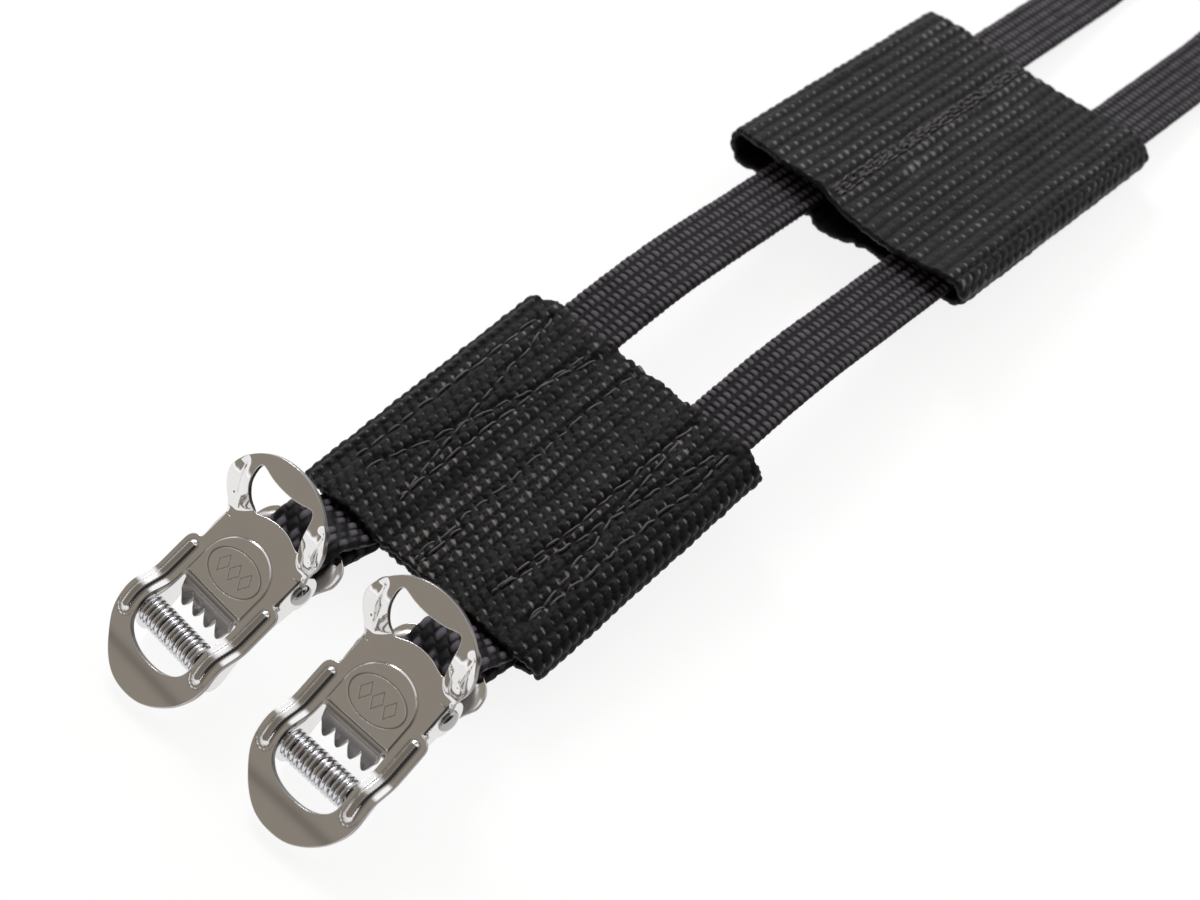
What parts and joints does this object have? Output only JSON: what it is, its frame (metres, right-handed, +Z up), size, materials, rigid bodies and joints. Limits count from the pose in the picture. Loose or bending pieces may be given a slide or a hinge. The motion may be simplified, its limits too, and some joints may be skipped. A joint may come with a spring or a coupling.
{
  "type": "double toe strap with clamp buckles",
  "caption": "Pair of webbing straps with sprung toothed clamp buckles, joined side by side by a sewn webbing sleeve and a sliding webbing sleeve.",
  "frame": {"origin": "on the ground plane, under the middle of the whole assembly (bottom centre of its bounding box)", "axes": "+X across the two straps, from the left one to the right one; +Y along the straps, from the buckles to the free ends; +Z up"},
  "size_m": [0.0536, 0.428, 0.0243],
  "materials": {
    "sleeve_webbing": "coarse woven nylon webbing",
    "strap_webbing": "close woven nylon webbing",
    "stitching": "sewing thread",
    "plated_sheet": "polished plated sheet steel",
    "steel_pin": "bright steel pin",
    "steel_wire": "drawn steel wire"
  },
  "bodies": {
    "front_straps": {"front_sleeve": "sleeve_webbing", "front_sleeve_stitching": "stitching", "left_strap_front": "strap_webbing", "right_strap_front": "strap_webbing"},
    "left_buckle": {"left_strap_loop": "strap_webbing", "left_buckle_base": "plated_sheet", "left_roller_axle": "steel_pin", "left_pivot_rivet": "steel_pin", "left_lever_spring": "steel_wire"},
    "left_lever": {"left_buckle_lever": "plated_sheet"},
    "left_roller": {"left_roller_coil": "steel_wire"},
    "right_buckle": {"right_strap_loop": "strap_webbing", "right_buckle_base": "plated_sheet", "right_roller_axle": "steel_pin", "right_pivot_rivet": "steel_pin", "right_lever_spring": "steel_wire"},
    "right_lever": {"right_buckle_lever": "plated_sheet"},
    "right_roller": {"right_roller_coil": "steel_wire"},
    "rear_straps": {"left_strap_rear": "strap_webbing", "right_strap_rear": "strap_webbing"},
    "rear_sleeve": {"rear_sleeve": "sleeve_webbing", "rear_sleeve_stitching": "stitching"},
    "left_tail": {"left_strap_tail": "strap_webbing"},
    "right_tail": {"right_strap_tail": "strap_webbing"}
  },
  "joints": [
    {"name": "left_buckle_flex", "type": "hinge", "parent": "front_straps", "child": "left_buckle", "pos_m": [-0.01208, -0.174, 0.00545], "axis": [1, 0, 0], "range_deg": [-22, 25], "stiffness_Nm_per_rad": 0.004},
    {"name": "left_lever_hinge", "type": "hinge", "parent": "left_buckle", "child": "left_lever", "pos_m": [-0.01298, -0.18876, 0.01008], "axis": [0.9993, -0.0382, -0.0033], "range_deg": [-30, 0], "stiffness_Nm_per_rad": 0.05},
    {"name": "left_roller_spin", "type": "hinge", "parent": "left_buckle", "child": "left_roller", "pos_m": [-0.01358, -0.20431, 0.00573], "axis": [0.9993, -0.0382, -0.0033], "continuous": true},
    {"name": "right_buckle_flex", "type": "hinge", "parent": "front_straps", "child": "right_buckle", "pos_m": [0.01613, -0.174, 0.00545], "axis": [1, 0, 0], "range_deg": [-22, 25], "stiffness_Nm_per_rad": 0.004},
    {"name": "right_lever_hinge", "type": "hinge", "parent": "right_buckle", "child": "right_lever", "pos_m": [0.01632, -0.18842, 0.01011], "axis": [0.9998, 0.0186, 0.0016], "range_deg": [-30, 0], "stiffness_Nm_per_rad": 0.05},
    {"name": "right_roller_spin", "type": "hinge", "parent": "right_buckle", "child": "right_roller", "pos_m": [0.01662, -0.20398, 0.00576], "axis": [0.9998, 0.0186, 0.0016], "continuous": true},
    {"name": "strap_flex", "type": "hinge", "parent": "front_straps", "child": "rear_straps", "pos_m": [0.00183, -0.10119, 0.01082], "axis": [1, 0, 0], "range_deg": [-60, 75], "stiffness_Nm_per_rad": 0.008},
    {"name": "rear_sleeve_slide", "type": "slide", "parent": "rear_straps", "child": "rear_sleeve", "axis": [0, 0.9969, -0.0791], "range_m": [-0.024, 0.034]},
    {"name": "left_tail_flex", "type": "hinge", "parent": "rear_straps", "child": "left_tail", "pos_m": [-0.01208, 0.02382, 0.0009], "axis": [1, 0, 0], "range_deg": [-60, 75], "stiffness_Nm_per_rad": 0.003},
    {"name": "right_tail_flex", "type": "hinge", "parent": "rear_straps", "child": "right_tail", "pos_m": [0.01613, 0.02382, 0.0009], "axis": [1, 0, 0], "range_deg": [-60, 75], "stiffness_Nm_per_rad": 0.003}
  ]
}
